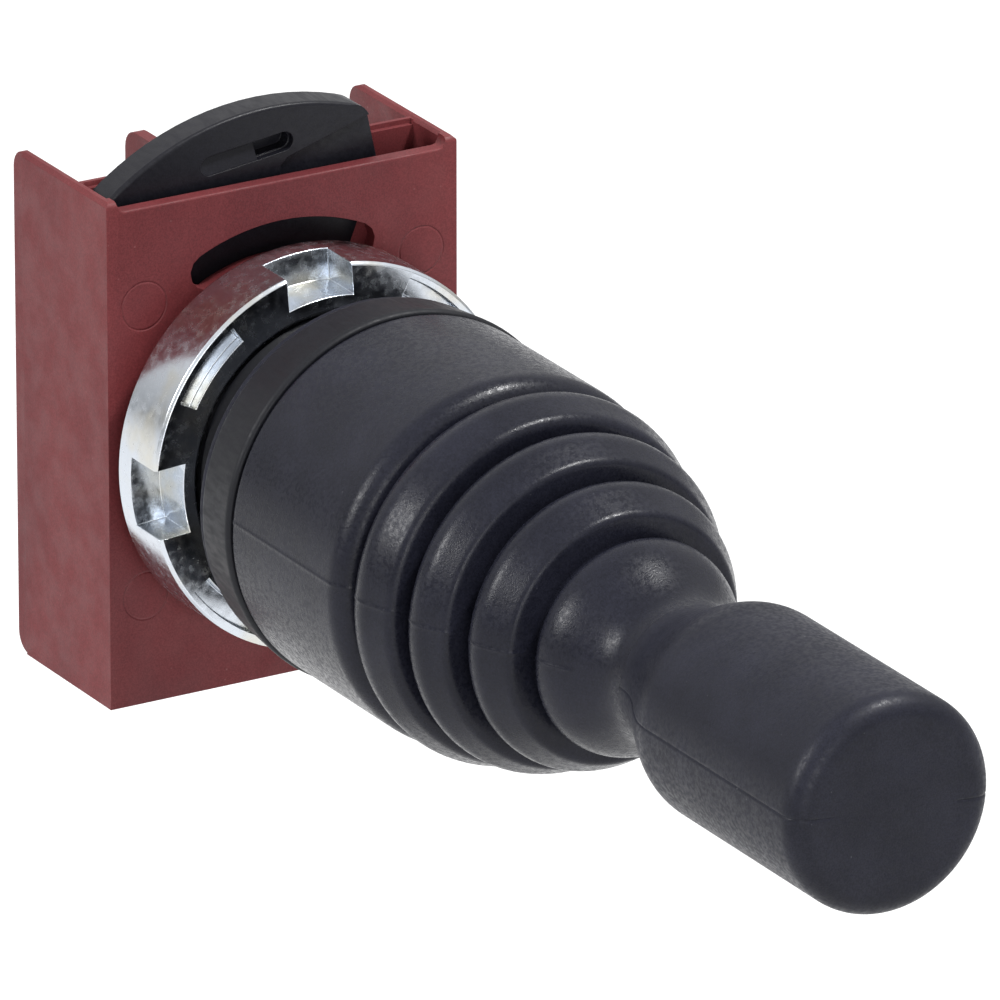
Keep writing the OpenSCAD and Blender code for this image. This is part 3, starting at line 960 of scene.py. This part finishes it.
@dataclass
class Neck(Assembly):
    """The threaded neck with its flange, the bezel round it and the panel gasket.

    Sections and spans are given by radius and by distance forward of the piece's rear end. A
    piece's rounding is the step and the reach that round its corners.
    """

    thread: float = 11.0
    bore: float = 9.0
    lip: float = 7.9
    bottom: float = 2.6
    flange_radius: float = 13.0
    flange: Pair = (19.2, 21.2)
    spigot: float = 11.4
    tip: float = 25.6
    thread_span: Pair = (7.2, 17.6)
    pitch: float = 1.5
    thread_depth: float = 0.6
    lug: tuple[Pair, Pair] = ((10.2, 11.9), (0, 0.9))
    lug_angles: tuple[float, ...] = (45, 135, 225, 315)
    lug_half: float = 5.0
    key: tuple[Pair, Pair] = ((10.4, 11.95), (15.2, 18))
    key_half: float = 7.6
    rounding: Pair = (0.19, 0.07)
    block_rounding: Pair = (0.1, 0.09)
    bezel_rounding: Pair = (0.12, 0.1)
    gasket_rounding: Pair = (0.1, 0.11)
    bezel: tuple[Pair, ...] = (
        (11.1, 0), (13.9, 0), (14.1, 0.3), (14.5, 4.4),
        (14.3, 4.7), (13.1, 4.7), (13.1, 1), (11.1, 1),
    )  # fmt: skip
    gasket: tuple[Pair, ...] = ((12.2, 0), (13.85, 0), (13.85, 0.6), (12.2, 0.6))

    def outline(self) -> Points:
        """Half section of the neck."""
        t, b, (first, last) = self.thread, self.bore, self.flange
        return np.array(
            [
                (self.lip, 0), (t - 0.5, 0), (t, 0.5), (t, first), (self.flange_radius, first),
                (self.flange_radius, last), (self.spigot, last), (self.spigot, self.tip),
                (b, self.tip), (b, self.bottom), (self.lip, self.bottom),
            ]
        )  # fmt: skip

    def block(self, middle: float, half: float, section: tuple[Pair, Pair]) -> Points:
        """A part of a ring with rounded edges.

        Args:
            middle: Angle of its middle, in degrees.
            half: Half the angle that it spans, in degrees.
            section: Inner and outer radius, and first and last distance forward.

        Returns:
            Grid of points, section by angle.
        """
        (low, high), (first, last) = section
        corners = np.array([(low, first), (high, first), (high, last), (low, last)])
        angles = np.radians(np.linspace(middle - half, middle + half, 9))
        return turned(rounded(corners, *self.block_rounding), self.rear("body"), angles)

    def ring(
        self, node: str, section: Sequence[Pair], rounding: Pair, columns: int
    ) -> tuple[Points, Form]:
        """A whole ring in a node's place, as a grid of its section by the columns round it."""
        outline = rounded(np.array(section), *rounding)
        return turned(outline, self.rear(node), even_turn(columns)), Form.RING

    def build(self) -> None:
        """Makes the neck, bezel and gasket."""
        rear, finish = self.rear("body"), self.finishes.neck
        cut = screw_thread(*self.thread_span, self.pitch, self.thread_depth, self.thread)
        outline = rounded(self.outline(), *self.rounding)
        tube = turned(outline, rear, even_turn(120), ripple=cut)
        blocks = [self.block(angle, self.lug_half, self.lug) for angle in self.lug_angles]
        blocks.append(self.block(90, self.key_half, self.key))
        bars = [(block, Form.BAR) for block in blocks]
        neck = made("threaded_neck", finish, (tube, Form.RING), *bars)
        self.carry(neck, Body.HEAD, Slot.BLACK, "body")
        bezel = self.ring("bezel", self.bezel, self.bezel_rounding, 144)
        self.carry(made("bezel_ring", finish, bezel), Body.HEAD, Slot.BLACK, "bezel")
        seal = self.ring("panel_gasket", self.gasket, self.gasket_rounding, 120)
        seal_piece = made("panel_seal", self.finishes.seal, seal)
        self.carry(seal_piece, Body.HEAD, Slot.RUBBER, "panel_gasket")
        self.dress(finish, "boot_ring")
        self.dress(self.finishes.pressed, "gate_plate")


@dataclass(frozen=True)
class Fold:
    """One fold of the bellows: a broad round back, a straight band and a tight front shoulder.

    The back and the front are each given as radius, distance past the first fold and rounding. The
    valley is the radius of the groove in front of the fold.
    """

    back: Triple
    front: Triple
    valley: float

    @property
    def lean(self) -> float:
        """Angle in degrees at which the straight band leaves the back and meets the shoulder.

        The band touches both circles. It leans by the direction between their centres, less the
        angle whose cosine is the difference of the roundings over the distance of the centres.
        """
        out, on = self.front[0] - self.back[0], self.front[1] - self.back[1]
        share = (self.back[2] - self.front[2]) / math.hypot(out, on)
        return math.degrees(math.atan2(on, out) - math.acos(share))

    @property
    def wall(self) -> float:
        """Distance past the first fold at which the fold's front wall stands."""
        return self.front[1] + self.front[2]

    def outside(self, start: float) -> Points:
        """Outer line of the fold, from behind its back to the valley in front.

        Args:
            start: Distance forward at which the first fold begins.

        Returns:
            Array of points.
        """
        back = arc((self.back[0], start + self.back[1]), self.back[2], -85, self.lean, 20)
        front = arc((self.front[0], start + self.front[1]), self.front[2], self.lean, 88, 12)
        return np.vstack([back, front, [(self.valley, start + self.wall + 0.05)]])

    def inside(self, start: float, behind: float) -> Points:
        """Inner line of the fold, 1 mm under its skin, from its front wall to the valley behind.

        Args:
            start: Distance forward at which the first fold begins.
            behind: Radius of the valley behind the fold.

        Returns:
            Array of points.
        """
        wall = start + self.wall
        front = [(self.valley - 1, wall - 0.85), (self.front[0] - 0.4, wall - 1)]
        back = arc((self.back[0], start + self.back[1]), self.back[2] - 1, self.lean, -90, 10)
        foot = [(behind - 1, start + self.back[1] - self.back[2] + 0.85)]
        return np.vstack([front, back, foot])


@dataclass
class RubberBoot(Assembly):
    """The boot: a straight sleeve, a shoulder, three folds, a dome and a tapered neck.

    Distances forward count from the sleeve's rear end. Those of the split, the bend's end, the
    dome and the length count from the first fold's start, and the lead and the bend's start from
    the sleeve's front end.
    """

    radius: float = 14.3
    skin: float = 1.2
    sleeve: float = 13.6
    lead: float = 2.25
    bend_start: float = 0.6
    shoulder: float = 1.8
    folds: tuple[Fold, ...] = (
        Fold((11.9, 2.45, 2.2), (12.55, 4.5, 0.9), 11.12),
        Fold((10.92, 7.9, 1.9), (11.26, 9.94, 0.6), 9.25),
        Fold((9.05, 13.0, 1.8), (9.1, 15.33, 0.6), 7.3),
    )
    first_valley: float = 11.6
    split: float = 5.72
    bend_end: float = 15.3
    dome: float = 17.45
    rim: float = 8.15
    taper: float = 6.1
    waist: float = 5.5
    length: float = 24.55
    line_height: float = 0.05
    line_width: float = 0.13
    line_least: float = 7.0
    step: float = 0.16
    corner: float = 0.1

    @property
    def start(self) -> float:
        """Distance forward of the sleeve's rear end where the first fold begins."""
        return self.sleeve + self.lead

    def soft(self, parts: list[Any]) -> Points:
        """Joins parts of a line and rounds its corners, apart from its two ends."""
        return rounded(np.vstack(parts), self.step, self.corner, closed=False)

    def lower(self) -> Points:
        """Half section of the sleeve, the shoulder and the first fold, up to the first valley."""
        r, s, f, skin = self.radius, self.sleeve, self.start, self.skin
        first = self.folds[0]
        bend = (r - self.shoulder, s + 0.55)
        outside = [
            [(11.5, 0), (r - 0.25, 0), (r, 0.3)],
            arc(bend, self.shoulder, 0, 90, 16),
            [(self.first_valley, f + 0.18)],
            first.outside(f),
            [(first.valley, f + self.split)],
        ]
        inside = [
            [(first.valley - 1, f + self.split)],
            first.inside(f, self.first_valley),
            [(self.first_valley - 1, f - 0.95)],
            arc(bend, self.shoulder - skin, 90, 0),
            [(r - skin, 1.2), (11.5, 1.2)],
        ]
        return np.vstack([self.soft(outside), self.soft(inside)])

    def upper(self) -> Points:
        """Half section of the other two folds, the dome and the neck, from the first valley on.

        Over the taper, the radius falls from the rim's to the waist's as half a cosine wave.
        """
        f, end = self.start, self.start + self.length
        first, second, third = self.folds
        u = np.linspace(0, 1, 33)[:, None]
        fall = self.rim - (self.rim - self.waist) * (1 - np.cos(math.pi * u)) / 2
        outside = [
            [(first.valley, f + self.split)],
            second.outside(f),
            third.outside(f),
            [(third.valley + 0.1, f + self.dome - 0.4)],
            arc((self.rim - 0.35, f + self.dome), 0.35, -80, 20),
            np.hstack([fall, f + self.dome + 0.2 + self.taper * u]),
            [(self.waist, end)],
        ]
        inside = [
            [(4.3, end), (4.6, end - 1.2), (6.4, f + self.dome + 2.2), (6.7, f + self.dome + 0.6)],
            [(third.valley - 1, f + self.dome - 0.4)],
            third.inside(f, second.valley),
            second.inside(f, first.valley),
            [(first.valley - 1, f + self.split)],
        ]
        return np.vstack([self.soft(outside), self.soft(inside)])

    def build(self) -> None:
        """Makes the boot in two pieces that meet in the valley behind the second fold.

        Each piece keeps its place, with its transform baked into its mesh.
        """
        rear = self.rear("boot_sleeve")
        turn = even_turn(150, MOULD_SIDES)
        line = parting_line(self.line_height, self.line_width, self.line_least)
        back = rear - (self.sleeve + self.bend_start) * MM
        middle = rear - (self.start + self.split) * MM
        ahead = rear - (self.start + self.bend_end) * MM
        names = ("boot_sleeve_and_first_fold", "boot_folds_and_neck")
        for name, outline, bodies, ends, stands_for in (
            (names[0], self.lower(), TILT_UP_DOWN, (back, middle), ("boot_sleeve", "boot_bellows")),
            (names[1], self.upper(), TILT_LEFT_RIGHT, (middle, ahead), ("boot_bellows",)),
        ):
            skin = (turned(outline, rear, turn, ripple=line), Form.RING)
            piece = made(name, self.finishes.boot, skin, sharp=60)
            self.stretch(piece, bodies, ends, Slot.RUBBER, *stands_for)


@dataclass
class StickGear(Assembly):
    """The steel stick on its gimbal, the rocker on its tail and the return spring round it."""

    coil: Coil = Coil(8.75, 4.4, 0.42, 5)
    cut: float = 0.37

    def build(self) -> None:
        """Dresses the gimbal and stick, and makes the return spring in two parts."""
        self.dress(self.finishes.steel, "stick", "cross_pin", "body_pins")
        self.dress(self.finishes.pressed, "spring_collar", "collar_clip", "rocker_screw")
        self.dress(self.finishes.gimbal, "gimbal_ring")
        self.dress(self.finishes.nylon, "rocker")
        rear, front = self.rear("return_spring"), self.front("return_spring")
        middle = rear + (front - rear) * float(self.coil.level(self.cut))
        for name, share, bodies, ends in (
            ("return_spring_foot", (0, self.cut), TILT_UP_DOWN, (rear, middle)),
            ("return_spring_head", (self.cut, 1), TILT_LEFT_RIGHT, (middle, front)),
        ):
            wire = (self.coil.part(rear, front, *share), Form.BAR)
            piece = made(name, self.finishes.wire, wire)
            self.stretch(piece, bodies, ends, Slot.STEEL, "return_spring")


@dataclass
class Plungers(Assembly):
    """The four plungers that the rocker pushes, each with its spring, and their guide plate."""

    coil: Coil = Coil(1.85, 1.85, 0.18, 4)
    sides: tuple[str, ...] = ("top", "bottom", "left", "right")

    def build(self) -> None:
        """Dresses the plungers and makes their springs."""
        plungers = [f"plunger_{side}" for side in self.sides]
        self.dress(self.finishes.nylon, "guide_plate", *plungers)
        for side, plunger in zip(self.sides, plungers):
            node = f"spring_{side}"
            rear, front = self.rear(node), self.front(node)
            low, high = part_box(plunger)
            centre = np.array([low.x + high.x, 0, low.z + high.z]) / 2
            wire = (self.coil.part(rear, front) + centre, Form.BAR)
            piece = made(f"plunger_spring_{side}", self.finishes.wire, wire)
            bodies = (Body.HEAD, Body(f"{side}_plunger"))
            self.stretch(piece, bodies, (rear, front), Slot.STEEL, node)


@dataclass
class Grip(Assembly):
    """The moulded grip with its brass insert."""

    radius: float = 8.25
    waist: float = 5.5
    shoulder: float = 8.2
    length: float = 20.0
    corner: float = 1.7
    crown: float = 0.12
    bore: float = 3.1
    pocket: float = 5.05
    pocket_span: Pair = (4.1, 20.3)
    line_height: float = -0.07
    line_width: float = 0.09

    def outline(self) -> Points:
        """Half section of the grip, from the middle of its end face to the insert's pocket.

        Over the shoulder, the radius grows from the waist's to the grip's as half a cosine wave.
        """
        end = self.shoulder + self.length
        first, last = self.pocket_span
        u = np.linspace(1, 0, 41)[:, None]
        swell = self.waist + (self.radius - self.waist) * (1 - np.cos(math.pi * u)) / 2
        outside = [
            [(0, end + self.crown)],
            arc((self.radius - self.corner, end - self.corner), self.corner, 84, 0, 16),
            np.hstack([swell, self.shoulder * u]),
        ]
        inside = [(self.bore, 0), (self.bore, first), (self.pocket, first)]
        inside += [(self.pocket, last), (0, last)]
        return np.vstack([rounded(np.vstack(outside), 0.2, 0.16, closed=False), inside])

    def build(self) -> None:
        """Makes the grip and dresses its insert."""
        turn = even_turn(144, MOULD_SIDES)
        line = parting_line(self.line_height, self.line_width, self.bore + 2)
        skin = turned(self.outline(), self.rear("grip"), turn, closed=False, ripple=line)
        piece = made("grip_moulding", self.finishes.grip, (skin, Form.CUP), sharp=60)
        self.carry(piece, Body.STICK, Slot.RUBBER, "grip")
        self.dress(self.finishes.brass, "grip_insert")


# ---- studio ----------------------------------------------------------------------------------


@dataclass(frozen=True)
class Softbox:
    """A flat lamp that faces the joystick. Its place and size are in metres."""

    name: str
    place: Triple
    size: Pair
    power: float

    def build(self, aim: Vector) -> None:
        """Sets up the lamp.

        Args:
            aim: Point that it faces.
        """
        lamp = bpy.data.lights.new(self.name, "AREA")
        lamp.shape, lamp.energy = "RECTANGLE", self.power
        lamp.size, lamp.size_y = self.size
        holder = bpy.data.objects.new(self.name, lamp)
        holder.location = self.place
        holder.rotation_euler = (aim - Vector(self.place)).to_track_quat("-Z", "Y").to_euler()
        bpy.context.scene.collection.objects.link(holder)


@dataclass(frozen=True)
class Studio:
    """Camera, floor, lamps and white surround. Lengths are in metres, but for the lens."""

    eye: Triple = (-0.54446, -0.95364, 0.42472)
    heading: float = -30.239
    dip: float = 21.228
    lens: float = 579.85
    sensor: float = 36.0
    clip: Pair = (0.05, 60.0)
    drop: float = 0.07
    half_floor: float = 8.0
    paper: Colour = (0.5, 0.5, 0.5)
    glow: float = 0.66
    ambient: float = 0.22
    mirrored: float = 0.4
    horizon: float = 0.45
    lamps: tuple[Softbox, ...] = (
        Softbox("key_softbox", (0.52, -0.42, 1.2), (0.42, 0.12), 17.0),
        Softbox("left_softbox", (-1.2, 0.2, 0.65), (0.45, 0.45), 10.0),
        Softbox("front_softbox", (-0.5, -1.3, 0.25), (0.6, 0.6), 4.5),
    )

    def build(self) -> None:
        """Sets up the whole studio."""
        low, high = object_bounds()
        self.build_camera()
        self.build_floor(low.z - self.drop)
        self.build_surround()
        for lamp in self.lamps:
            lamp.build((low + high) / 2)
        bpy.context.scene.view_settings.view_transform = "Standard"

    def build_camera(self) -> None:
        """Makes the camera, level, turned by the heading and dipped towards the joystick."""
        a, e = math.radians(self.heading), math.radians(self.dip)
        ahead = Vector((-math.sin(a) * math.cos(e), math.cos(a) * math.cos(e), -math.sin(e)))
        up = Vector((-math.sin(a) * math.sin(e), math.cos(a) * math.sin(e), math.cos(e)))
        facing = Matrix((ahead.cross(up), up, -ahead)).transposed().to_4x4()
        lens = bpy.data.cameras.new("camera")
        lens.lens, lens.sensor_width = self.lens, self.sensor
        lens.clip_start, lens.clip_end = self.clip
        camera = bpy.data.objects.new("camera", lens)
        camera.matrix_world = Matrix.Translation(self.eye) @ facing
        bpy.context.scene.collection.objects.link(camera)
        bpy.context.scene.camera = camera

    def build_floor(self, height: float) -> None:
        """Lays a plain pale floor, lifted to white for the camera by a little glow.

        Args:
            height: Z of the floor, in metres.
        """
        mesh = bpy.data.meshes.new("floor")
        corners = [(-1, -1), (1, -1), (1, 1), (-1, 1)]
        reach = self.half_floor
        mesh.from_pydata([(x * reach, y * reach, height) for x, y in corners], [], [(0, 1, 2, 3)])
        sheet = Sketch("floor_paper")
        path = sheet.add("ShaderNodeLightPath").outputs
        seen = sheet.math("MAXIMUM", path["Is Camera Ray"], path["Is Glossy Ray"])
        seen = sheet.math("MAXIMUM", seen, path["Is Transmission Ray"])
        sheet.coat(Base_Color=self.paper, Roughness=0.9, Specular_IOR_Level=0.1)
        glow = sheet.math("MULTIPLY", seen, self.glow)
        sheet.coat(Emission_Color=(1, 1, 1), Emission_Strength=glow)
        mesh.materials.append(sheet.material)
        floor = bpy.data.objects.new("floor", mesh)
        bpy.context.scene.collection.objects.link(floor)
        floor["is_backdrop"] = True

    def build_surround(self) -> None:
        """Fills the world with soft grey light, and with white where it is seen or mirrored.

        What a glossy surface mirrors grows from the mirrored level at the horizon to white.
        """
        world = bpy.data.worlds.new("surround")
        world.use_nodes = True
        bpy.context.scene.world = world
        sky = Graph(world.node_tree)
        place = sky.add("ShaderNodeTexCoord").outputs["Generated"]
        height = sky.add("ShaderNodeSeparateXYZ", {0: place}).outputs[2]
        rise = {"Value": height, "From Max": self.horizon, "To Min": self.mirrored}
        mirror = sky.add("ShaderNodeMapRange", rise).outputs[0]
        path = sky.add("ShaderNodeLightPath").outputs
        level: Any = self.ambient
        rays = (("Is Glossy Ray", mirror), ("Is Transmission Ray", 1.0), ("Is Camera Ray", 1.0))
        for ray, shown in rays:
            pick = {0: path[ray], 2: level, 3: shown}
            level = sky.add("ShaderNodeMix", pick, data_type="FLOAT").outputs[0]
        glow = sky.add("ShaderNodeBackground", {"Color": (1, 1, 1), "Strength": level})
        sky.add("ShaderNodeOutputWorld", {"Surface": glow.outputs[0]})


def main() -> None:
    """Loads the frame, builds each sub-assembly in order and sets up the studio."""
    logging.basicConfig(level=logging.INFO, format="%(message)s")
    for item in list(bpy.data.objects):
        bpy.data.objects.remove(item)
    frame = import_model()
    finishes = Finishes()
    for kind in (MountingBase, LockingLever, RingNut, Neck, RubberBoot, StickGear, Plungers, Grip):
        log.info("-- %s", kind.__name__)
        kind(frame["nodes"], finishes).build()
    Studio().build()


if __name__ == "__main__":
    main()
